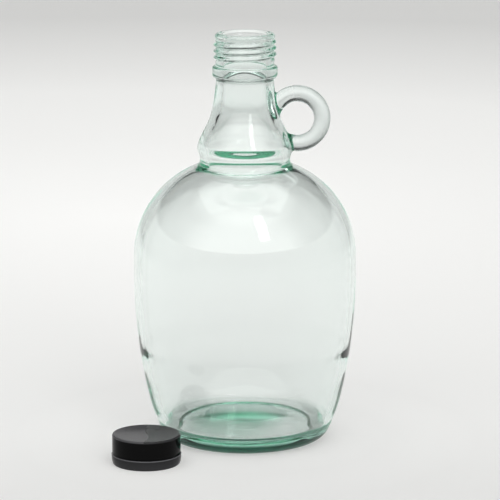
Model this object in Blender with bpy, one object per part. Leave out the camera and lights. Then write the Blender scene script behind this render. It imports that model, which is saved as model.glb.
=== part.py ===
"""A one litre glass jug with a ring handle on its neck, and its screw cap standing beside it.

Lengths in the constants are millimetres. The jug's axis is upright, and its handle points along +X.
"""

import math

import bmesh
import bpy
from mathutils import Matrix, Vector

MM = 0.001

# Body of the jug
BELLY_RADIUS = 56.6
BELLY_HEIGHT = 84.5
SIDE_ARC = 272.0
SIDE_TURN = 13.0
LOWER_ARC = 95.0
HEEL_ARC = 9.0
SHOULDER_ARC = 49.5
SHOULDER_HEIGHT = 94.9
BEARING_WIDTH = 2.0
PUSH_UP = 2.0
PUSH_UP_STEP = 0.9

# Neck of the jug, as radius and height: groove above the shoulder, rounded collar, long flare
NECK_CURVE = [
    (25.2, 141.1),
    (23.6, 142.0),
    (22.9, 143.7),
    (23.1, 146.2),
    (24.1, 149.2),
    (24.1, 151.7),
    (23.0, 154.8),
    (21.0, 158.9),
    (19.4, 162.2),
    (17.9, 165.7),
    (16.5, 170.8),
    (15.5, 176.5),
    (14.8, 182.0),
    (14.7, 185.2),
]
GROOVE_SHOULDER_RADIUS = 26.6

# Mouth of the jug: bead, screw finish and lip
BEAD_RADIUS = 16.5
BEAD_BOTTOM = 186.3
BEAD_BOTTOM_ROUND = 1.6
BEAD_TOP = 192.1
BEAD_TOP_ROUND = 0.8
BEAD_FILLET = 0.5
FINISH_RADIUS = 14.8
MOUTH_HEIGHT = 208.8
LIP_RADIUS = 15.2
LIP_BOTTOM = 206.7
LIP_ROUND = 1.3
LIP_FILLET = 0.4

# Thread of the mouth, a right-handed ridge
THREAD_RADIUS = 15.85
THREAD_TOP = 204.9
THREAD_PITCH = 3.2
THREAD_TURNS = 3.1
THREAD_START = 31.0
THREAD_FADE = 0.12
THREAD_ROOT_HALF = 1.15
THREAD_CREST_HALF = 0.4
THREAD_SINK = 0.6
THREAD_END_HEIGHT = 0.3

# Inside of the jug
WALL = 2.8
SHOULDER_WALL = 3.4
INNER_SIDE_TURN = 7.4
INNER_FLOOR_CURVE = [
    (0, 5.8),
    (8.0, 6.1),
    (16.0, 7.0),
    (23.0, 7.9),
    (30.0, 8.2),
    (38.4, 8.3),
    (41.2, 9.9),
    (42.6, 13.5),
    (44.5, 18.5),
    (46.4, 25.0),
    (48.6, 34.0),
    (50.1, 43.0),
]
BORE_RADIUS = 10.9
BORE_LIP_ROUND = 1.1
INNER_NECK_CURVE = [
    (19.2, 140.2),
    (18.9, 143.5),
    (19.2, 147.0),
    (19.9, 150.3),
    (19.6, 152.6),
    (17.6, 157.6),
    (14.4, 164.2),
    (11.9, 171.5),
    (BORE_RADIUS, 181.0),
]
INNER_NECK_RADIUS = 19.9
CUTTER_OVERRUN = 4.0

# Ring handle
HANDLE_REACH = 26.4
HANDLE_HEIGHT = 165.4
HANDLE_RING = 12.7
HANDLE_THICKNESS = 8.2
HANDLE_STEPS = 30
HANDLE_SIDES = 12

# Screw cap, standing on its open end at this distance from the jug's axis
CAP_PLACE = (-49.2, -52.2)
CAP_HEIGHT = 14.9
CAP_RADIUS = 17.1
CAP_EDGE_ROUND = 0.8
CAP_DISH = 0.35
CAP_DISH_RADIUS = 15.9
CAP_DISH_EDGE = 0.05
BAND_RADIUS = 17.4
BAND_TOP = 5.0
BAND_LEDGE = 0.2
BAND_TAPER_TOP = 3.0
BAND_KNEE = (17.05, 1.0)
BAND_FOOT_RADIUS = 16.75
CAP_BORE = 16.15
CAP_TOP_THICKNESS = 1.5
CAP_MOUTH_BEVEL = 0.3
CAP_CORNER_BEVEL = 0.4
CAP_THREAD_RADIUS = 15.2
CAP_THREAD_TOP = 10.6
CAP_THREAD_TURNS = 1.6

ROUND_STEPS = 44
THREAD_STEPS = 26
SMOOTH_ANGLE = 40.0


def clear_scene():
    for obj in list(bpy.data.objects):
        bpy.data.objects.remove(obj, do_unlink=True)


def arc(centre, radius, start, end, steps):
    """Points of an arc in the plane of radius and height, both ends included, angles in degrees from +X."""
    points = []
    for step in range(steps + 1):
        angle = math.radians(start + (end - start) * step / steps)
        points.append((centre[0] + radius * math.cos(angle), centre[1] + radius * math.sin(angle)))
    return points


def heel_outline():
    """Heel and lower side of the outer skin, as two arcs that touch."""
    turn = math.radians(SIDE_TURN)
    side = Vector((BELLY_RADIUS - SIDE_ARC, BELLY_HEIGHT))
    lower = side + (SIDE_ARC - LOWER_ARC) * Vector((math.cos(turn), -math.sin(turn)))
    drop = lower.y - HEEL_ARC
    reach = LOWER_ARC - HEEL_ARC
    heel = (lower.x + math.sqrt(reach**2 - drop**2), HEEL_ARC)
    heel_turn = math.degrees(math.asin(drop / reach))
    return (
        arc(heel, HEEL_ARC, -90, -heel_turn, 6)
        + arc(lower, LOWER_ARC, -heel_turn, -SIDE_TURN, 3)[1:-1]
    )


def side_outline(start, wall, shoulder_wall, top_radius):
    """Belly and shoulder as two arcs, this far inside the outer skin."""
    shoulder_radius = SHOULDER_ARC - shoulder_wall
    middle = BELLY_RADIUS - SHOULDER_ARC
    shoulder_turn = math.degrees(math.acos((top_radius - middle) / shoulder_radius))
    return (
        arc((BELLY_RADIUS - SIDE_ARC, BELLY_HEIGHT), SIDE_ARC - wall, -start, 0, 4)
        + arc((middle, SHOULDER_HEIGHT), shoulder_radius, 8, shoulder_turn, 9)
    )


def outer_outline():
    """The jug's outside, from the middle of its underside up and over the lip to the axis."""
    heel = heel_outline()
    bearing = heel[0][0] - BEARING_WIDTH
    bead_foot = (BEAD_RADIUS - BEAD_BOTTOM_ROUND, BEAD_BOTTOM + BEAD_BOTTOM_ROUND)
    bead_edge = (BEAD_RADIUS - BEAD_TOP_ROUND, BEAD_TOP - BEAD_TOP_ROUND)
    lip_middle = LIP_RADIUS - LIP_ROUND
    return (
        [(0, PUSH_UP), (bearing / 2, PUSH_UP - PUSH_UP_STEP / 2)]
        + [(bearing - PUSH_UP_STEP, PUSH_UP_STEP), (bearing, 0)]
        + heel
        + side_outline(SIDE_TURN, 0, 0, GROOVE_SHOULDER_RADIUS)
        + NECK_CURVE
        + arc(bead_foot, BEAD_BOTTOM_ROUND, -70, 0, 2)
        + arc(bead_edge, BEAD_TOP_ROUND, 0, 75, 2)
        + [(FINISH_RADIUS, BEAD_TOP + BEAD_FILLET), (FINISH_RADIUS, LIP_BOTTOM - LIP_FILLET)]
        + [(LIP_RADIUS, LIP_BOTTOM)]
        + arc((lip_middle, MOUTH_HEIGHT - LIP_ROUND), LIP_ROUND, 0, 90, 3)
        + [(0, MOUTH_HEIGHT)]
    )


def inner_outline():
    """The jug's inside, from the middle of its floor up through the bore, past the lip."""
    lip_centre = BORE_RADIUS + BORE_LIP_ROUND
    flare = arc((lip_centre, MOUTH_HEIGHT - BORE_LIP_ROUND), BORE_LIP_ROUND, 180, 110, 3)
    top = MOUTH_HEIGHT + CUTTER_OVERRUN
    return (
        INNER_FLOOR_CURVE
        + side_outline(INNER_SIDE_TURN, WALL, SHOULDER_WALL, INNER_NECK_RADIUS)
        + INNER_NECK_CURVE
        + flare
        + [(flare[-1][0], top), (0, top)]
    )


def cap_outline():
    """The cap's section from the middle of its top, down its outside and back up its inside."""
    edge_centre = CAP_RADIUS - CAP_EDGE_ROUND
    inner_top = CAP_HEIGHT - CAP_TOP_THICKNESS
    return (
        [(0, CAP_HEIGHT - CAP_DISH), (CAP_DISH_RADIUS / 2, CAP_HEIGHT - CAP_DISH * 3 / 4)]
        + [(CAP_DISH_RADIUS, CAP_HEIGHT - CAP_DISH_EDGE)]
        + arc((edge_centre, CAP_HEIGHT - CAP_EDGE_ROUND), CAP_EDGE_ROUND, 90, 0, 3)
        + [(CAP_RADIUS, BAND_TOP), (BAND_RADIUS, BAND_TOP - BAND_LEDGE)]
        + [(BAND_RADIUS, BAND_TAPER_TOP), BAND_KNEE, (BAND_FOOT_RADIUS, 0)]
        + [(CAP_BORE + CAP_MOUTH_BEVEL, 0), (CAP_BORE, CAP_MOUTH_BEVEL)]
        + [(CAP_BORE, inner_top - CAP_CORNER_BEVEL), (CAP_BORE - CAP_CORNER_BEVEL, inner_top)]
        + [(0, inner_top)]
    )


def turned(name, outline):
    """A closed solid made by turning an outline, whose two ends lie on the axis, round that axis."""
    bm = bmesh.new()
    verts = [bm.verts.new((radius * MM, 0, height * MM)) for radius, height in outline]
    edges = [bm.edges.new(pair) for pair in zip(verts, verts[1:])]
    bmesh.ops.spin(
        bm,
        geom=verts + edges,
        cent=(0, 0, 0),
        axis=(0, 0, 1),
        dvec=(0, 0, 0),
        angle=math.tau,
        steps=ROUND_STEPS,
        use_merge=True,
        use_duplicate=False,
    )
    bmesh.ops.remove_doubles(bm, verts=bm.verts, dist=0.001 * MM)
    bmesh.ops.recalc_face_normals(bm, faces=bm.faces)
    return mesh_object(name, bm)


def lofted(name, rings, closed):
    """A solid skinned over rings of points: closed on itself, or shut with a face at each end."""
    bm = bmesh.new()
    loops = []
    for ring in rings:
        verts = [bm.verts.new(Vector(point) * MM) for point in ring]
        loops.append([bm.edges.new((verts[i - 1], verts[i])) for i in range(len(verts))])
    if not closed:
        for loop in (loops[0], loops[-1]):
            bmesh.ops.contextual_create(bm, geom=loop)
    following = loops[1:] + loops[:1] if closed else loops[1:]
    for loop, after in zip(loops, following):
        bmesh.ops.bridge_loops(bm, edges=loop + after)
    bmesh.ops.recalc_face_normals(bm, faces=bm.faces)
    return mesh_object(name, bm)


def mesh_object(name, bm):
    mesh = bpy.data.meshes.new(name)
    bm.to_mesh(mesh)
    bm.free()
    mesh.shade_smooth()
    mesh.set_sharp_from_angle(angle=math.radians(SMOOTH_ANGLE))
    obj = bpy.data.objects.new(name, mesh)
    bpy.context.scene.collection.objects.link(obj)
    return obj


def thread_rings(root, crest, top, turns):
    """Sections of a right-handed ridge that winds down from its start and sinks into its wall at both ends."""
    rings = []
    steps = round(turns * THREAD_STEPS)
    away = 1 if crest > root else -1
    sunk = root - away * THREAD_SINK
    for step in range(steps + 1):
        wound = turns * step / steps
        fade = min(1, wound / THREAD_FADE, (turns - wound) / THREAD_FADE)
        peak = sunk + (crest - sunk) * (THREAD_END_HEIGHT + (1 - THREAD_END_HEIGHT) * fade)
        spin = Matrix.Rotation(math.radians(THREAD_START) - math.tau * wound, 3, "Z")
        middle = top - THREAD_PITCH * wound
        section = [
            (sunk, middle - THREAD_ROOT_HALF),
            (peak, middle - THREAD_CREST_HALF),
            (peak, middle + THREAD_CREST_HALF),
            (sunk, middle + THREAD_ROOT_HALF),
        ]
        rings.append([spin @ Vector((radius, 0, height)) for radius, height in section])
    return rings


def handle_rings():
    """Sections of the round ring that stands in the plane of the jug's axis."""
    rings = []
    centre = Vector((HANDLE_REACH, 0, HANDLE_HEIGHT))
    for step in range(HANDLE_STEPS):
        outward = Matrix.Rotation(-math.tau * step / HANDLE_STEPS, 3, "Y") @ Vector((1, 0, 0))
        ring = []
        for side in range(HANDLE_SIDES):
            angle = math.tau * (side + 0.5) / HANDLE_SIDES
            across = Vector((0, HANDLE_THICKNESS / 2 * math.sin(angle), 0))
            reach = HANDLE_RING + HANDLE_THICKNESS / 2 * math.cos(angle)
            ring.append(centre + outward * reach + across)
        rings.append(ring)
    return rings


def combine(target, tool, operation):
    """Joins the tool to the target, or cuts it out, and keeps it as a wire guide."""
    step = target.modifiers.new(tool.name, "BOOLEAN")
    step.operation = operation
    step.object = tool
    tool.hide_render = True
    tool.display_type = "WIRE"


def material(name, colour, roughness, transmission=0.0, ior=1.5):
    made = bpy.data.materials.new(name)
    made.use_nodes = True
    shader = made.node_tree.nodes["Principled BSDF"]
    shader.inputs["Base Color"].default_value = (*colour, 1)
    shader.inputs["Roughness"].default_value = roughness
    shader.inputs["Metallic"].default_value = 0
    shader.inputs["Transmission Weight"].default_value = transmission
    shader.inputs["IOR"].default_value = ior
    made.diffuse_color = (*colour, 1)
    return made


def make_bottle():
    bottle = turned("bottle", outer_outline())
    handle = lofted("handle_form", handle_rings(), closed=True)
    thread = lofted(
        "thread_form",
        thread_rings(FINISH_RADIUS, THREAD_RADIUS, THREAD_TOP, THREAD_TURNS),
        closed=False,
    )
    cavity = turned("cavity_form", inner_outline())
    combine(bottle, handle, "UNION")
    combine(bottle, thread, "UNION")
    combine(bottle, cavity, "DIFFERENCE")
    glass = material("pale_green_glass", (0.75, 0.9, 0.84), 0.02, transmission=1.0, ior=1.52)
    bottle.data.materials.append(glass)
    return [bottle, handle, thread, cavity]


def make_cap():
    cap = turned("cap", cap_outline())
    thread = lofted(
        "cap_thread_form",
        thread_rings(CAP_BORE, CAP_THREAD_RADIUS, CAP_THREAD_TOP, CAP_THREAD_TURNS),
        closed=False,
    )
    combine(cap, thread, "UNION")
    cap.data.materials.append(material("black_plastic", (0.012, 0.012, 0.012), 0.2))
    for obj in (cap, thread):
        obj.location = Vector((*CAP_PLACE, 0)) * MM
    return [cap, thread]


def centre_on_footprint(pieces):
    """Puts the origin on the floor, under the middle of the whole group's box."""
    middle = bpy.data.objects.new("footprint_centre", None)
    bpy.context.scene.collection.objects.link(middle)
    shift = [-(BELLY_RADIUS + place - BAND_RADIUS) / 2 * MM for place in CAP_PLACE]
    middle.location = (*shift, 0)
    for obj in pieces:
        obj.parent = middle


clear_scene()
centre_on_footprint(make_bottle() + make_cap())
bpy.context.view_layer.update()
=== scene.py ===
# %% [markdown]
# # A glass jug with a ring handle, and its screw cap
# The object is a one litre jug of pale green glass. It was blown in a mould in one piece, so the
# mouth with its thread, the bead, the neck, the ring handle and the body are all one skin of glass.
# A black screw cap stands beside it on the floor. We load the solids first, as a frame that never
# moves, and then build the finished surfaces exactly where those solids are.

import math

import bmesh
import bpy
from mathutils import Matrix, Vector


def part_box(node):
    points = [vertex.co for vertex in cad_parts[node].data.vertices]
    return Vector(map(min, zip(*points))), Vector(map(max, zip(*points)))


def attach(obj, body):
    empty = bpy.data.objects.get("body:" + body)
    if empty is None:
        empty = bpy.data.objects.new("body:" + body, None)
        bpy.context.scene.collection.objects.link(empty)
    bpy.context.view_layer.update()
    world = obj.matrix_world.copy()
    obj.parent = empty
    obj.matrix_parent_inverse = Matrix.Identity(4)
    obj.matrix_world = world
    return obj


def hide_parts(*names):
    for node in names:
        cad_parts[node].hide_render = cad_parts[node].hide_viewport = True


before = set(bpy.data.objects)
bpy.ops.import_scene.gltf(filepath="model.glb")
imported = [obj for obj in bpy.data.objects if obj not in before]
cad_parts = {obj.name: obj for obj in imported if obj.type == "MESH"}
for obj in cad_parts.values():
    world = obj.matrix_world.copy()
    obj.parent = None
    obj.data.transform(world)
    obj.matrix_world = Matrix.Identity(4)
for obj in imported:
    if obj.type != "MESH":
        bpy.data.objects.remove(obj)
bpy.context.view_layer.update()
MM = 0.001
low, high = (Vector(corner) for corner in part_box("bottle"))
axis = Vector(((low.x + high.x) / 2, (low.y + high.y) / 2, 0))
belly_radius = (high.x - low.x) / 2 / MM
mouth_height = high.z / MM
print("axis of the jug", axis, "belly radius", round(belly_radius, 2), "height", round(mouth_height, 2))

# %% [markdown]
# ## Outlines as points and arcs
# A bottle maker draws half a section, as radius against height, and turns it. A few helpers are
# enough for that drawing. One gives an arc by its centre, one gives a smooth curve through chosen
# points, and one divides a straight line. Everything here is in millimetres, and becomes metres
# only when it is turned.

# %% Drawing helpers
def arc(centre, radius, start, end, steps):
    """Points of an arc, both ends included, with angles in degrees from straight outwards."""
    points = []
    for step in range(steps + 1):
        angle = math.radians(start + (end - start) * step / steps)
        points.append((centre[0] + radius * math.cos(angle), centre[1] + radius * math.sin(angle)))
    return points


def curve_through(points, steps):
    """A smooth curve through the points, with this many steps between each two."""
    knots = [Vector(point) for point in points]
    ends = [2 * knots[0] - knots[1]] + knots + [2 * knots[-1] - knots[-2]]
    curve = []
    for before, start, end, after in zip(ends, ends[1:], ends[2:], ends[3:]):
        for step in range(steps):
            t = step / steps
            pull = (end - before) * t * (1 - t) ** 2 - (after - start) * t**2 * (1 - t)
            curve.append(tuple(start + (end - start) * t * t * (3 - 2 * t) + pull / 2))
    curve.append(tuple(knots[-1]))
    return curve


def line(start, end, steps):
    """Evenly spaced points of a straight line, without its last one."""
    return [tuple(Vector(start).lerp(Vector(end), step / steps)) for step in range(steps)]


# %% [markdown]
# ## Heel, belly and shoulder
# The side of the jug is a chain of arcs that touch without a corner: a small heel, a lower arc, a
# very flat belly arc and a round shoulder. The mould maker chooses the radii, and the centres of
# the lower arc and the heel follow from them, because two arcs share a tangent where they meet.

# %% Body outline
SIDE_ARC = 272.0
SIDE_TURN = 13.0
LOWER_ARC = 95.0
SHOULDER_ARC = 49.5
SHOULDER_HEIGHT = 94.9
SHOULDER_START = 2.0
BELLY_HEIGHT = 84.5
HEEL_ARC = 9.0
GROOVE_RADIUS = 26.6


def heel_outline():
    """Heel and lower side of the outer skin, as two arcs that touch."""
    turn = math.radians(SIDE_TURN)
    side = Vector((belly_radius - SIDE_ARC, BELLY_HEIGHT))
    lower = side + (SIDE_ARC - LOWER_ARC) * Vector((math.cos(turn), -math.sin(turn)))
    drop = lower.y - HEEL_ARC
    reach = LOWER_ARC - HEEL_ARC
    heel_centre = (lower.x + math.sqrt(reach**2 - drop**2), HEEL_ARC)
    heel_turn = math.degrees(math.asin(drop / reach))
    return (
        arc(heel_centre, HEEL_ARC, -90, -heel_turn, 14)
        + arc(lower, LOWER_ARC, -heel_turn, -SIDE_TURN, 6)[1:-1]
    )


def side_outline(start, wall, shoulder_wall, top_radius):
    """Belly and shoulder as two arcs, this far inside the outer skin."""
    middle = belly_radius - SHOULDER_ARC
    shoulder_radius = SHOULDER_ARC - shoulder_wall
    shoulder_turn = math.degrees(math.acos((top_radius - middle) / shoulder_radius))
    return (
        arc((belly_radius - SIDE_ARC, BELLY_HEIGHT), SIDE_ARC - wall, -start, 0, 16)
        + arc((middle, SHOULDER_HEIGHT), shoulder_radius, SHOULDER_START, shoulder_turn, 28)
    )


heel = heel_outline()
body = heel + side_outline(SIDE_TURN, 0, 0, GROOVE_RADIUS)
print(len(body), "points from the heel to the groove")

# %% [markdown]
# ## Neck and underside
# The shoulder ends in a groove, and above it the neck starts with a rounded collar and sweeps up in
# a long flare to the bead. A free curve like this has no simple radius, so it is drawn through a
# few points. The underside is pushed up in the middle, so that the jug stands on a ring and
# doesn't rock.

# %% Neck and underside outline
NECK_CURVE = [
    (25.2, 141.1),
    (23.6, 142.0),
    (22.9, 143.7),
    (23.1, 146.2),
    (24.1, 149.2),
    (24.1, 151.7),
    (23.0, 154.8),
    (21.0, 158.9),
    (19.4, 162.2),
    (17.9, 165.7),
    (16.5, 170.8),
    (15.5, 176.5),
    (14.8, 182.0),
    (14.7, 185.2),
]
PUSH_UP = 2.0
HALFWAY_DROP = 0.45
BEARING_WIDTH = 2.0
BEARING_BEVEL = 0.9
neck_line = curve_through(NECK_CURVE, 4)
bearing = heel[0][0] - BEARING_WIDTH
underside = curve_through(
    [
        (0, PUSH_UP),
        (bearing / 2, PUSH_UP - HALFWAY_DROP),
        (bearing - BEARING_BEVEL, BEARING_BEVEL),
        (bearing, 0),
    ],
    6,
)
print("the bearing ring is", round(bearing, 1), "to", round(heel[0][0], 1), "mm from the axis")

# %% [markdown]
# ## Bead, screw finish and lip
# Bottle makers call the threaded end the finish. Its wall is drawn straight here, in short steps,
# because the thread is raised out of it afterwards. The bead under it is the collar by which the
# machine carries the hot bottle.

# %% Mouth outline
BEAD_RADIUS = 16.5
BEAD_BOTTOM = 186.3
BEAD_BOTTOM_ROUND = 1.6
BEAD_TOP = 192.1
BEAD_TOP_ROUND = 0.8
LEDGE_FILLET = 0.5
FINISH_RADIUS = 14.8
FINISH_END = 0.6
FINISH_STEPS = 60
LIP_RADIUS = 15.2
LIP_ROUND = 1.5
LIP_DEPTH = 2.3
LIP_STEP = 0.2
lip_bottom = mouth_height - LIP_DEPTH
bead_foot = (BEAD_RADIUS - BEAD_BOTTOM_ROUND, BEAD_BOTTOM + BEAD_BOTTOM_ROUND)
bead_edge = (BEAD_RADIUS - BEAD_TOP_ROUND, BEAD_TOP - BEAD_TOP_ROUND)
bead_root = (FINISH_RADIUS + LEDGE_FILLET, BEAD_TOP + LEDGE_FILLET)
finish_low = (FINISH_RADIUS, BEAD_TOP + FINISH_END)
finish_high = (FINISH_RADIUS, lip_bottom - FINISH_END)
mouth = (
    arc(bead_foot, BEAD_BOTTOM_ROUND, -80, 0, 6)
    + arc(bead_edge, BEAD_TOP_ROUND, 0, 85, 6)
    + arc(bead_root, LEDGE_FILLET, 265, 185, 4)
    + line(finish_low, finish_high, FINISH_STEPS)
    + curve_through([finish_high, (LIP_RADIUS, lip_bottom + LIP_STEP)], 3)
    + arc((LIP_RADIUS - LIP_ROUND, mouth_height - LIP_ROUND), LIP_ROUND, 10, 90, 7)
)
outer_outline = underside[:-1] + body + neck_line + mouth
outer_outline.append((0, mouth_height))
print(len(outer_outline), "points on the outside")

# %% [markdown]
# ## The inside
# Blown glass is thick where the parison was cold: about three millimetres in the wall, four in the
# neck and up to eight in the base. The inside therefore has its own outline. It doesn't follow the
# groove and the collar, and that lens of glass at the foot of the neck is what draws the dark
# green line there. The inner floor dips a little in the middle, so it gathers the light too.

# %% Inner outline
WALL = 2.8
SHOULDER_WALL = 3.4
INNER_SIDE_TURN = 7.4
INNER_NECK_RADIUS = 19.9
BORE_RADIUS = 10.9
BORE_LIP = 1.1
OVERRUN = 4.0
INNER_FLOOR = [
    (0, 5.8),
    (8.0, 6.1),
    (16.0, 7.0),
    (23.0, 7.9),
    (30.0, 8.2),
    (38.4, 8.3),
    (41.2, 9.9),
    (42.6, 13.5),
    (44.5, 18.5),
    (46.4, 25.0),
    (48.6, 34.0),
    (50.1, 43.0),
]
INNER_NECK = [
    (19.2, 140.2),
    (18.9, 143.5),
    (19.2, 147.0),
    (19.9, 150.3),
    (19.6, 152.6),
    (17.6, 157.6),
    (14.4, 164.2),
    (11.9, 171.5),
    (BORE_RADIUS, 181.0),
]
inner_side = side_outline(INNER_SIDE_TURN, WALL, SHOULDER_WALL, INNER_NECK_RADIUS)
bore_top = arc((BORE_RADIUS + BORE_LIP, mouth_height - BORE_LIP), BORE_LIP, 180, 110, 6)
inner_outline = (
    curve_through(INNER_FLOOR + [inner_side[0]], 5)[:-1]
    + inner_side
    + curve_through(INNER_NECK, 5)
    + bore_top
    + [(bore_top[-1][0], mouth_height + OVERRUN), (0, mouth_height + OVERRUN)]
)
print(len(inner_outline), "points on the inside")

# %% [markdown]
# ## Turning the outlines
# `bmesh.ops.spin` turns a chain of edges round the axis, like clay on a wheel. With `use_merge` the
# last step closes on the first. The points on the axis are merged into one pole, and the normals
# are worked out only after that.

# %% Turn a solid
MERGE_DISTANCE = 0.001


def turned(outline, steps):
    """A closed bmesh made by turning an outline whose two ends lie on the axis."""
    bm = bmesh.new()
    verts = [bm.verts.new((radius * MM, 0, height * MM)) for radius, height in outline]
    edges = [bm.edges.new(pair) for pair in zip(verts, verts[1:])]
    bmesh.ops.spin(
        bm,
        geom=verts + edges,
        cent=(0, 0, 0),
        axis=(0, 0, 1),
        angle=math.tau,
        steps=steps,
        use_merge=True,
        use_duplicate=False,
    )
    bmesh.ops.remove_doubles(bm, verts=bm.verts, dist=MERGE_DISTANCE * MM)
    bmesh.ops.recalc_face_normals(bm, faces=bm.faces)
    return bm


def object_from(bm, name, place=(0, 0, 0)):
    """Puts a bmesh in the scene at its place, with the object itself at the origin."""
    bmesh.ops.translate(bm, verts=bm.verts, vec=place)
    mesh = bpy.data.meshes.new(name)
    bm.to_mesh(mesh)
    bm.free()
    mesh.shade_smooth()
    obj = bpy.data.objects.new(name, mesh)
    bpy.context.scene.collection.objects.link(obj)
    return obj


JUG_STEPS = 224
jug = turned(outer_outline, JUG_STEPS)
print("outside of the jug:", len(jug.verts), "points")

# %% [markdown]
# ## The thread
# The real thread is a rounded ridge that winds down to the right. A second swept body would have
# to be joined to the wall, and that leaves a sharp root. It is simpler to push the points of the
# finely stepped wall outwards by how close they are to the ridge's middle line, with its two ends
# fading out.

# %% Raise the thread
THREAD_TOP = 204.9
THREAD_PITCH = 3.2
THREAD_TURNS = 3.1
THREAD_START = 31.0
THREAD_FADE = 0.12
THREAD_HALF = 1.15
THREAD_RISE = 1.05
WALL_MARGIN = 0.5


def thread_rise(x, y, height):
    """How far the wall stands out at this place, from 0 to THREAD_RISE."""
    wound = ((THREAD_START - math.degrees(math.atan2(y, x))) / 360) % 1
    turn = round((THREAD_TOP - height) / THREAD_PITCH - wound) + wound
    if not 0 <= turn <= THREAD_TURNS:
        return 0
    off = abs(THREAD_TOP - turn * THREAD_PITCH - height) / THREAD_HALF
    fade = min(1, turn / THREAD_FADE, (THREAD_TURNS - turn) / THREAD_FADE)
    return THREAD_RISE * fade * (1 - min(1, off) ** 2) ** 1.5


for vert in jug.verts:
    height = vert.co.z / MM
    radius = math.hypot(vert.co.x, vert.co.y) / MM
    if BEAD_TOP < height < lip_bottom and radius > FINISH_RADIUS - WALL_MARGIN:
        grown = 1 + thread_rise(vert.co.x, vert.co.y, height) / radius
        vert.co.x *= grown
        vert.co.y *= grown
print("thread of", THREAD_TURNS, "turns at a pitch of", THREAD_PITCH, "mm")

# %% [markdown]
# ## The ring handle
# The handle is a round rod of glass bent to a full ring, standing in the plane of the mould's
# seam. A circle of eight millimetres is turned about the ring's own centre. It starts a little
# turned, so that none of its points lies exactly in the seam.

# %% Ring
HANDLE_REACH = 26.4
HANDLE_HEIGHT = 165.4
HANDLE_RING = 12.7
HANDLE_THICKNESS = 8.2
ROD_SIDES = 36
ROD_TURN = 7.5
RING_STEPS = 110


def ring_bmesh():
    """The rod of the handle, turned to a closed ring beside the axis."""
    bm = bmesh.new()
    turn = Matrix.Rotation(math.radians(ROD_TURN), 4, "Z")
    rod_radius = HANDLE_THICKNESS / 2 * MM
    bmesh.ops.create_circle(bm, cap_ends=False, segments=ROD_SIDES, radius=rod_radius, matrix=turn)
    centre = Vector((HANDLE_REACH, 0, HANDLE_HEIGHT)) * MM
    bmesh.ops.translate(bm, verts=bm.verts, vec=centre + Vector((HANDLE_RING * MM, 0, 0)))
    bmesh.ops.spin(
        bm,
        geom=bm.verts[:] + bm.edges[:],
        cent=centre,
        axis=(0, 1, 0),
        angle=math.tau,
        steps=RING_STEPS,
        use_merge=True,
        use_duplicate=False,
    )
    bmesh.ops.recalc_face_normals(bm, faces=bm.faces)
    return bm


ring = object_from(ring_bmesh(), "ring_guide", axis)
cavity = object_from(turned(inner_outline, JUG_STEPS), "cavity_guide", axis)
glass = object_from(jug, "jug_glass", axis)
print("handle ring", HANDLE_RING * 2 + HANDLE_THICKNESS, "mm across")

# %% [markdown]
# ## One skin of glass
# Glass has to be one closed skin: light that meets a hidden wall inside it would bend once too
# often. A Boolean joins the ring to the outside, and a second one cuts the cavity out of both, so
# the bore stays smooth where the ring meets it.

# %% Join and hollow
def apply_boolean(target, tool, operation):
    """Applies one exact Boolean to the target's mesh and removes the tool."""
    step = target.modifiers.new(operation, "BOOLEAN")
    step.operation = operation
    step.solver = "EXACT"
    step.object = tool
    graph = bpy.context.evaluated_depsgraph_get()
    made = bpy.data.meshes.new_from_object(target.evaluated_get(graph))
    target.modifiers.clear()
    target.data = made
    bpy.data.objects.remove(tool, do_unlink=True)


apply_boolean(glass, ring, "UNION")
apply_boolean(glass, cavity, "DIFFERENCE")
print("joined skin:", len(glass.data.vertices), "points")

# %% [markdown]
# ## Softening the joints
# Molten glass has no sharp inner corner. The points that are close to both the ring and the neck
# are relaxed a few times, which draws a small round into the joint.

# %% Relax the joint
JOINT_REACH = 1.9
JOINT_ROUNDS = 14
SKIN_MERGE = 0.004


def neck_radius(height):
    """Outer radius of the neck at a height, read off the drawn curve."""
    for (r0, z0), (r1, z1) in zip(neck_line, neck_line[1:]):
        if z0 <= height <= z1:
            return r0 + (r1 - r0) * (height - z0) / (z1 - z0)
    return FINISH_RADIUS


def near_joint(vert):
    """Whether a point is close to the surface of the ring and to that of the neck."""
    point = (vert.co - axis) / MM
    around = math.hypot(point.x - HANDLE_REACH, point.z - HANDLE_HEIGHT) - HANDLE_RING
    off_ring = math.hypot(around, point.y) - HANDLE_THICKNESS / 2
    off_neck = math.hypot(point.x, point.y) - neck_radius(point.z)
    return abs(off_ring) < JOINT_REACH and abs(off_neck) < JOINT_REACH


bm = bmesh.new()
bm.from_mesh(glass.data)
bmesh.ops.remove_doubles(bm, verts=bm.verts, dist=SKIN_MERGE * MM)
joint = [vert for vert in bm.verts if near_joint(vert)]
for _ in range(JOINT_ROUNDS):
    bmesh.ops.smooth_vert(bm, verts=joint, factor=0.5, use_axis_x=True, use_axis_y=True, use_axis_z=True)
bm.to_mesh(glass.data)
bm.free()
glass.data.shade_smooth()
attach(glass, "root")
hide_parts("bottle")
print(len(joint), "points relaxed round the handle's roots")

# %% [markdown]
# ## The cap
# The cap is moulded in glossy black plastic. Its top is very slightly dished and has a rounded
# edge. Low on the skirt a narrow ledge starts a second band that tapers in to the floor. The same
# turning makes it, from an outline that goes down the outside and back up the inside.

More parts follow.
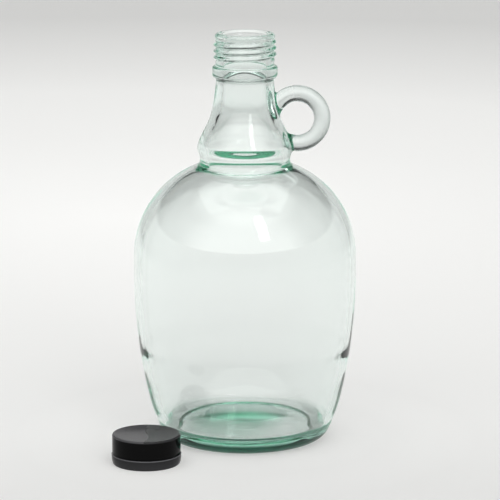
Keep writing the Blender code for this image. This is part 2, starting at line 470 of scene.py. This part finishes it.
# %% Cap outline
cap_low, cap_high = (Vector(corner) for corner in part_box("cap"))
cap_axis = Vector(((cap_low.x + cap_high.x) / 2, (cap_low.y + cap_high.y) / 2, 0))
cap_height = cap_high.z / MM
CAP_RADIUS = 17.1
CAP_ROUND = 0.8
CAP_DISH = [(0, 0.35), (8, 0.26), (15.9, 0.03)]
CAP_BORE = 16.15
CAP_ROOF = 1.5
BAND_RADIUS = 17.4
BAND_TAPER = [(BAND_RADIUS, 4.7), (BAND_RADIUS, 3.2), (17.15, 1.3), (16.75, 0.15)]
LEDGE = [(CAP_RADIUS, 5.1), (CAP_RADIUS + 0.08, 5.0), (BAND_RADIUS - 0.1, 4.95), (BAND_RADIUS, 4.8)]
CAP_FOOT = [(16.6, 0), (CAP_BORE + 0.2, 0), (CAP_BORE, 0.3), (CAP_BORE, 1.0)]
dish = [(radius, cap_height - depth) for radius, depth in CAP_DISH]
roof_corner = [(CAP_BORE, cap_height - 1.9), (CAP_BORE - 0.4, cap_height - CAP_ROOF)]
cap_outline = (
    curve_through(dish, 8)
    + arc((CAP_RADIUS - CAP_ROUND, cap_height - CAP_ROUND), CAP_ROUND, 90, 0, 6)
    + line((CAP_RADIUS, cap_height - 1.2), (CAP_RADIUS, 5.2), 6)
    + LEDGE
    + curve_through(BAND_TAPER, 4)
    + CAP_FOOT
    + line((CAP_BORE, 1.2), (CAP_BORE, cap_height - 2.0), 50)
    + roof_corner
    + [(0, cap_height - CAP_ROOF)]
)
print("the cap is", round(cap_height, 1), "mm high and", BAND_RADIUS * 2, "mm across")

# %% [markdown]
# ## The thread inside the cap
# The cap's thread is the jug's thread turned inside out. The same rule raises it, inwards this
# time, from the finely stepped wall of the bore.

# %% Turn the cap
CAP_STEPS = 160
CAP_THREAD_TOP = 10.6
CAP_THREAD_FOOT = 5.0
CAP_EDGE_ANGLE = 50.0
cap_bm = turned(cap_outline, CAP_STEPS)
for vert in cap_bm.verts:
    height = vert.co.z / MM
    radius = math.hypot(vert.co.x, vert.co.y) / MM
    if abs(radius - CAP_BORE) < 0.01 and CAP_THREAD_FOOT < height < cap_height - 2.0:
        inward = thread_rise(vert.co.x, vert.co.y, height + THREAD_TOP - CAP_THREAD_TOP)
        vert.co.x *= 1 - inward / radius
        vert.co.y *= 1 - inward / radius
cap = object_from(cap_bm, "screw_cap", cap_axis)
cap.data.set_sharp_from_angle(angle=math.radians(CAP_EDGE_ANGLE))
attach(cap, "root")
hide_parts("cap")
print("cap:", len(cap.data.vertices), "points")

# %% [markdown]
# ## Materials written as sums
# A material is a small calculation. The class below wraps a socket, so that plus, minus and times
# add the Math nodes.

# %% Sums of sockets
class Wire:
    """A socket of a shader node that can be used in a sum."""

    def __init__(self, recipe, socket):
        self.recipe = recipe
        self.socket = socket

    def maths(self, operation, first, second):
        return self.recipe.node("ShaderNodeMath", {"operation": operation}, {0: first, 1: second})["Value"]

    def __add__(self, other):
        return self.maths("ADD", self, other)

    def __sub__(self, other):
        return self.maths("SUBTRACT", self, other)

    def __rsub__(self, other):
        return self.maths("SUBTRACT", other, self)

    def __mul__(self, other):
        return self.maths("MULTIPLY", self, other)

    __radd__ = __add__
    __rmul__ = __mul__


# %% [markdown]
# ## A recipe of nodes
# One method adds every other kind of node: its type, its settings, and the values or links of its
# sockets. The short methods after it call that one for the nodes that come up again and again.

# %% Recipe
class Recipe:
    """The nodes of one material, or of the room."""

    def __init__(self, tree):
        self.tree = tree
        tree.nodes.clear()

    def node(self, kind, settings, sockets):
        """Adds a node, its settings first, then its sockets as values or links. Returns its outputs."""
        made = self.tree.nodes.new(kind)
        for name, value in settings.items():
            if name == "stops":
                ramp = made.color_ramp.elements
                while len(ramp) < len(value):
                    ramp.new(0.5)
                for stop, (place, colour) in zip(ramp, value):
                    stop.position = place
                    stop.color = colour
            else:
                setattr(made, name, value)
        for name, value in sockets.items():
            if isinstance(value, Wire):
                self.tree.links.new(value.socket, made.inputs[name])
            else:
                made.inputs[name].default_value = value
        return {output.name: Wire(self, output) for output in made.outputs}

    def fade(self, value, start, end, first=0.0, last=1.0, kind="SMOOTHSTEP"):
        """Goes from first to last while the value goes from start to end."""
        sockets = {"Value": value, "From Min": start, "From Max": end, "To Min": first, "To Max": last}
        return self.node("ShaderNodeMapRange", {"interpolation_type": kind}, sockets)["Result"]

    def ramp(self, value, stops):
        """A colour for a value, between stops of a place and a colour."""
        settings = {"stops": [(place, (*colour, 1)) for place, colour in stops]}
        return self.node("ShaderNodeValToRGB", settings, {"Fac": value})["Color"]

    def noise(self, place, scale, detail):
        """A cloudy value between 0 and 1."""
        return self.node("ShaderNodeTexNoise", {}, {"Vector": place, "Scale": scale, "Detail": detail})["Fac"]

    def distance(self, place, centre):
        """How far a place is from a point, in metres."""
        return self.node("ShaderNodeVectorMath", {"operation": "DISTANCE"}, {0: place, 1: centre})["Value"]

    def times(self, first, second):
        """Two colours or two places, multiplied."""
        return self.node("ShaderNodeVectorMath", {"operation": "MULTIPLY"}, {0: first, 1: second})["Vector"]

    def place(self):
        """Where the surface is, on Object coordinates."""
        return self.node("ShaderNodeTexCoord", {}, {})["Object"]

    def parts(self, place):
        """The three parts of a place, under X, Y and Z."""
        return self.node("ShaderNodeSeparateXYZ", {}, {"Vector": place})


def new_material(name):
    """An empty material with its recipe."""
    material = bpy.data.materials.new(name)
    material.use_nodes = True
    return material, Recipe(material.node_tree)


WHITE = (1, 1, 1)

# %% [markdown]
# ## How polished the glass is
# Most of the skin was blown against a hot mould and is bright. The underside touched the machine
# and the ring was nipped between two halves of the mould, so both are duller, which hides what
# lies behind them. Each border is a pair of places in millimetres, on the axes of the scene.

# %% Roughness of the glass
HAZE_ROUGH = 0.02
UNDERSIDE_ROUGH = 0.2
UNDERSIDE_FADE = (2.2, 3.6)
RING_ROUGH = 0.36
RING_FADE = (21.0, 34.0)
RING_FOOT_FADE = (144.0, 146.0)


def glass_roughness(recipe, place, parts):
    """Roughness of the wall, the underside and the ring."""
    haze = recipe.noise(place, 60.0, 3.0)
    under = recipe.fade(parts["Z"], UNDERSIDE_FADE[0] * MM, UNDERSIDE_FADE[1] * MM, 1.0, 0.0)
    on_ring = recipe.fade(parts["X"], RING_FADE[0] * MM, RING_FADE[1] * MM)
    aloft = recipe.fade(parts["Z"], RING_FOOT_FADE[0] * MM, RING_FOOT_FADE[1] * MM, kind="LINEAR")
    return haze * HAZE_ROUGH + under * UNDERSIDE_ROUGH + on_ring * aloft * RING_ROUGH


print("roughness", HAZE_ROUGH, "on the wall,", UNDERSIDE_ROUGH, "below and", RING_ROUGH, "on the ring")

# %% [markdown]
# ## Where the glass is darker
# The heel is seen edge-on, through the whole width of the floor, and looks dark green, and the floor
# looks darker green in a patch a little off the middle. The absorbing volume in the next cell gives a
# part of that, and two tints on the surface add the rest. The tint on the front of the heel is painted
# shade, standing in for the dark surroundings seen through it. It fades out towards the back, where it
# would darken the floor as well.

# %% Painted shade and tints of the glass
HEEL_FADE = (4.6, 7.2)
HEEL_RIM = (34.5, 35.5)
HEEL_FRONT = (-24.0, 34.0)
# Painted shade: the front of the heel is darkened in its colour, for dark surroundings seen through it.
HEEL_PAINTED_SHADE = (0.012, 0.05, 0.038)
# A darker green patch in the floor, a little off the middle, given as a tint of the surface.
FLOOR_PATCH_PLACE = (-5.0, -4.0, 5.0)
FLOOR_PATCH_RADIUS = 28.0
FLOOR_PATCH_TINT = (0.38, 0.6, 0.51)


def glass_tints_and_painted_shade(recipe, place, parts):
    """Painted shade on the front of the heel and a darker green patch in the floor, white elsewhere."""
    from_axis = recipe.distance(recipe.times(place, (1, 1, 0)), axis)
    foot = recipe.fade(parts["Z"], HEEL_FADE[0] * MM, HEEL_FADE[1] * MM, 1.0, 0.0)
    rim = recipe.fade(from_axis, HEEL_RIM[0] * MM, HEEL_RIM[1] * MM, kind="LINEAR")
    front = recipe.fade(parts["Y"], axis.y + HEEL_FRONT[0] * MM, axis.y + HEEL_FRONT[1] * MM, 1.0, 0.0)
    # The heel's painted shade, only low down, on the rim and at the front.
    heel_painted_shade = recipe.ramp(foot * rim * front, [(0, WHITE), (1, HEEL_PAINTED_SHADE)])
    # The darker green patch in the floor, a little off the middle.
    from_patch = recipe.distance(place, axis + Vector(FLOOR_PATCH_PLACE) * MM)
    patch_stops = [(0, FLOOR_PATCH_TINT), (0.45, FLOOR_PATCH_TINT), (1, WHITE)]
    patch_tint = recipe.ramp(from_patch * (1 / (FLOOR_PATCH_RADIUS * MM)), patch_stops)
    return recipe.times(heel_painted_shade, patch_tint)


print("heel tint", HEEL_PAINTED_SHADE, "and drop tint", FLOOR_PATCH_TINT)

# %% [markdown]
# ## Pale green glass
# The glass itself is clear. Its green comes from a little iron, and so it only shows where light
# has a long way to go: a thin wall looks almost white and the base looks dark green. That is what
# an absorbing volume does. Faint streaks, drawn long in height, keep the wall from looking
# machined.

# %% Glass material
GLASS_IOR = 1.52
GLASS_COLOUR = (0.1, 0.8, 0.575, 1)
GLASS_DENSITY = 8.5
RIPPLE_SCALE = 38.0
STREAK_SCALE = (70.0, 70.0, 9.0)


def glass_material():
    """Clear glass that absorbs, with its tints, its roughness and its streaks."""
    material, recipe = new_material("pale_green_glass")
    place = recipe.place()
    parts = recipe.parts(place)
    ripple = recipe.noise(place, RIPPLE_SCALE, 1.0)
    drawn = recipe.node("ShaderNodeMapping", {}, {"Vector": place, "Scale": STREAK_SCALE})["Vector"]
    streaks = recipe.noise(drawn, 1.0, 1.0)
    bump = recipe.node(
        "ShaderNodeBump", {}, {"Height": ripple + streaks * 2, "Strength": 0.05, "Distance": 0.002}
    )["Normal"]
    surface = recipe.node(
        "ShaderNodeBsdfPrincipled",
        {},
        {
            "Base Color": glass_tints_and_painted_shade(recipe, place, parts),
            "Roughness": glass_roughness(recipe, place, parts),
            "IOR": GLASS_IOR,
            "Transmission Weight": 1.0,
            "Normal": bump,
        },
    )["BSDF"]
    volume = recipe.node(
        "ShaderNodeVolumeAbsorption", {}, {"Color": GLASS_COLOUR, "Density": GLASS_DENSITY}
    )["Volume"]
    recipe.node("ShaderNodeOutputMaterial", {}, {"Surface": surface, "Volume": volume})
    return material


glass.data.materials.clear()
glass.data.materials.append(glass_material())
print("glass material on", glass.name)

# %% [markdown]
# ## Black plastic
# The cap is polished black plastic. From the side it is nearly black, and its flat top mirrors the
# pale backdrop, because any gloss grows at a shallow angle. The base colour is lighter on the top and
# on the lower band, a painted reflection of the pale backdrop and floor, and a thin light line at the
# ledge is a painted highlight, so it changes with the height. A wavy dark line across the top, with a
# slightly darker half beside it, is the painted edge of the jug's reflection.

# %% Painted reflections on the cap
# Grey by height: painted reflection of the floor on the lower band, a painted highlight on the ledge, near
# black on the skirt, and painted reflection of the backdrop on the top.
BLACK_AND_PAINTED_SHEEN_STOPS = [
    (0, 0.08),
    (0.3, 0.05),
    (0.315, 0.18),
    (0.338, 0.18),
    (0.345, 0.004),
    (0.93, 0.004),
    (0.96, 0.13),
    (1.0, 0.13),
]
# Painted reflection on the top: a dark wavy line and a darker half, the edge of the jug's mirrored image.
REFLECTION_EDGE_STOPS = [(0, WHITE), (0.46, WHITE), (0.5, (0.1, 0.1, 0.1)), (0.53, (0.5, 0.5, 0.5))]
REFLECTION_EDGE_OFFSET = 0.4
REFLECTION_EDGE_SWING = 1.1
REFLECTION_EDGE_WAVE = 260.0
REFLECTION_EDGE_SPAN = 5.0


def cap_shade(recipe, parts):
    """Colour of the cap: black, with painted reflections and a painted highlight by height and on top."""
    # The painted edge of the jug's reflection, a wavy line across the top only.
    across = (parts["Y"] - cap_axis.y) * REFLECTION_EDGE_WAVE
    wave = recipe.node("ShaderNodeMath", {"operation": "SINE"}, {0: across})["Value"]
    aside = parts["X"] - cap_axis.x - REFLECTION_EDGE_OFFSET * MM + wave * (REFLECTION_EDGE_SWING * MM)
    on_top = recipe.fade(parts["Z"], cap_high.z * 0.92, cap_high.z * 0.96)
    reflection_edge = recipe.ramp(aside * (1 / (REFLECTION_EDGE_SPAN * MM)) + 0.5 + (on_top - 1) * 5, REFLECTION_EDGE_STOPS)
    # Black by height, with the painted reflection and highlight bands.
    painted_sheen_stops = [(place, (level, level, level * 1.05)) for place, level in BLACK_AND_PAINTED_SHEEN_STOPS]
    black_and_painted_sheen = recipe.ramp(parts["Z"] * (1 / cap_high.z), painted_sheen_stops)
    return recipe.times(black_and_painted_sheen, reflection_edge)


greys = [level for _, level in BLACK_AND_PAINTED_SHEEN_STOPS]
print("the cap's grey goes from", min(greys), "to", max(greys))

# %% [markdown]
# ## The cap's gloss
# Faint scuffs vary the gloss, and a fine grain breaks it up a little. The index of refraction is
# low for a plastic, which keeps the sides as black as they look in a bright room.

# %% Cap material
def cap_material():
    """Black plastic with painted reflections and a painted highlight, its scuffs and a fine grain."""
    material, recipe = new_material("black_plastic")
    place = recipe.place()
    parts = recipe.parts(place)
    scuff = recipe.noise(place, 400.0, 6.0)
    grain = recipe.noise(place, 2500.0, 2.0)
    bump = recipe.node(
        "ShaderNodeBump", {}, {"Height": grain, "Strength": 0.04, "Distance": 0.0002}
    )["Normal"]
    surface = recipe.node(
        "ShaderNodeBsdfPrincipled",
        {},
        {
            "Base Color": cap_shade(recipe, parts),
            "Roughness": 0.06 + scuff * 0.08,
            "IOR": 1.3,
            "Normal": bump,
        },
    )["BSDF"]
    recipe.node("ShaderNodeOutputMaterial", {}, {"Surface": surface})
    return material


cap.data.materials.append(cap_material())
print("plastic on", cap.name)

# %% [markdown]
# ## Floor and backdrop
# The jug stands on one pale sheet that sweeps up into a wall all round, so no edge shows from any
# side. It is a turned bowl, far wider than the camera's distance.

# %% Studio bowl
FLOOR_FLAT = 1900.0
BOWL_ROUND = 900.0
BOWL_STEPS = 96
BOWL_MERGE = 0.01


def bowl_bmesh():
    """The sheet as one open skin, from the middle of the floor to the top of the wall."""
    bm = bmesh.new()
    points = [(0, 0), (400, 0), (1000, 0)] + arc((FLOOR_FLAT, BOWL_ROUND), BOWL_ROUND, -90, 0, 27)
    verts = [bm.verts.new((radius * MM, 0, height * MM)) for radius, height in points]
    edges = [bm.edges.new(pair) for pair in zip(verts, verts[1:])]
    bmesh.ops.spin(
        bm,
        geom=verts + edges,
        cent=(0, 0, 0),
        axis=(0, 0, 1),
        angle=math.tau,
        steps=BOWL_STEPS,
        use_merge=True,
        use_duplicate=False,
    )
    bmesh.ops.remove_doubles(bm, verts=bm.verts, dist=BOWL_MERGE * MM)
    bmesh.ops.recalc_face_normals(bm, faces=bm.faces)
    return bm


bowl = object_from(bowl_bmesh(), "studio_bowl")
print("studio bowl", 2 * (FLOOR_FLAT + BOWL_ROUND) * MM, "m across")

# %% [markdown]
# ## How the sheet is lit
# The sheet is brightest about half a metre behind the jug and fades with distance. Light that the
# jug lets through is hard to trace, so the sheet glows a little more under and close round it.

# %% Sheet material
LIT_CENTRE = (-0.08, 0.57, 0)
LIT_REACH = 2.8
LIT_STOPS = [(0, 0.97), (0.114, 0.84), (0.2, 0.78), (0.243, 0.69), (0.375, 0.45), (0.64, 0.43), (1.0, 0.46)]
PASSED_REACH = 0.2
PASSED_STOPS = [(0, 1.0), (0.15, 1.0), (0.23, 0.85), (0.37, 0.74), (0.6, 0.667), (1.0, 0.667)]
SHEET_GREY = (0.45, 0.45, 0.45, 1)
SHEET_GLOW = 0.75


def sheet_material():
    """A matt pale sheet whose glow depends on the place."""
    material, recipe = new_material("pale_sheet")
    place = recipe.place()
    glow_stops = [(reach, (level, level, level * 0.985)) for reach, level in LIT_STOPS]
    glow = recipe.ramp(recipe.distance(place, LIT_CENTRE) * (1 / LIT_REACH), glow_stops)
    passed_stops = [(reach, (level, level, level)) for reach, level in PASSED_STOPS]
    passed = recipe.ramp(recipe.distance(place, axis) * (1 / PASSED_REACH), passed_stops)
    surface = recipe.node(
        "ShaderNodeBsdfPrincipled",
        {},
        {
            "Base Color": SHEET_GREY,
            "Roughness": 0.9,
            "IOR": 1.2,
            "Emission Color": recipe.times(glow, passed),
            "Emission Strength": SHEET_GLOW,
        },
    )["BSDF"]
    recipe.node("ShaderNodeOutputMaterial", {}, {"Surface": surface})
    return material


bowl.data.materials.append(sheet_material())
print("sheet material on", bowl.name)

# %% [markdown]
# ## The room
# Clear glass shows what is behind it, and its edges show what is beside it. So the room is bright
# overhead and in front, and it is dark behind the sheet, which draws the dark lines on the
# shoulder, the neck and the thread.

# %% Room
ROOM_TOP = 1.0
ROOM_LOW = 0.08
ROOM_FRONT = 1.35
ROOM_COLOUR = (1.0, 1.0, 0.985, 1)
scene = bpy.context.scene


def soft_room():
    """A room that is bright overhead and in front of the jug, and dark low down behind it."""
    world = bpy.data.worlds.new("soft_room")
    world.use_nodes = True
    recipe = Recipe(world.node_tree)
    way = recipe.node("ShaderNodeTexCoord", {}, {})["Generated"]
    parts = recipe.parts(way)
    rise = recipe.fade(parts["Z"], 0.7, 0.9, ROOM_LOW, ROOM_TOP)
    front = recipe.fade(parts["Y"], -0.75, -0.05, ROOM_FRONT, 0.0)
    sky = recipe.node("ShaderNodeBackground", {}, {"Color": ROOM_COLOUR, "Strength": rise + front})
    recipe.node("ShaderNodeOutputWorld", {}, {"Surface": sky["Background"]})
    return world


scene.world = soft_room()
print("room:", ROOM_TOP, "overhead,", ROOM_FRONT, "in front and", ROOM_LOW, "behind")

# %% [markdown]
# ## Lights
# One wide light hangs overhead. It isn't mirrored in the glass, so the shoulder keeps the soft
# glow of the room. A narrow light in front gives the bright strip on the neck. Light has to bounce
# many times to find its way along the thick glass. A gamma below one deepens the middle tones.

# %% Lights
BOUNCES = 40


def soft_light(name, place, aim, size, power):
    """A rectangular light that points at its aim."""
    data = bpy.data.lights.new(name, "AREA")
    data.shape = "RECTANGLE"
    data.size, data.size_y = size
    data.energy = power
    light = bpy.data.objects.new(name, data)
    light.location = place
    light.rotation_euler = (Vector(aim) - Vector(place)).to_track_quat("-Z", "Y").to_euler()
    scene.collection.objects.link(light)
    return light


overhead = soft_light("overhead_light", (0, 0.5, 2.2), (0, 0.5, 0), (2.6, 2.2), 19)
overhead.visible_glossy = False
soft_light("strip_light", (0.39, -0.87, 1.04), (0, 0, 0.15), (0.22, 0.7), 1.5)
scene.view_settings.view_transform = "Standard"
scene.view_settings.gamma = 0.75
scene.cycles.max_bounces = BOUNCES
scene.cycles.transmission_bounces = BOUNCES
scene.cycles.glossy_bounces = BOUNCES

# %% [markdown]
# ## Camera
# The photo was taken with a long lens from about twelve degrees above the jug, which keeps its
# sides nearly parallel. The camera looks at a point just beside the axis.

# %% Camera
LENS = 218.9
SENSOR = 36
DISTANCE = 1551.0
ELEVATION = 12.05
AIM_HEIGHT = 97.3
AIM_ASIDE = 2.55
aim = axis + Vector((AIM_ASIDE, 0, AIM_HEIGHT)) * MM
lift = math.radians(ELEVATION)
camera_data = bpy.data.cameras.new("camera")
camera_data.lens = LENS
camera_data.sensor_width = SENSOR
camera = bpy.data.objects.new("camera", camera_data)
camera.location = aim + Vector((0, -math.cos(lift), math.sin(lift))) * DISTANCE * MM
camera.rotation_euler = (math.pi / 2 - lift, 0, 0)
scene.collection.objects.link(camera)
scene.camera = camera
print("camera at", camera.location)

# %% [markdown]
# ## Finish
# The scene is brought up to date once more, so that every piece stands at its place.

# %% Finish
bpy.context.view_layer.update()
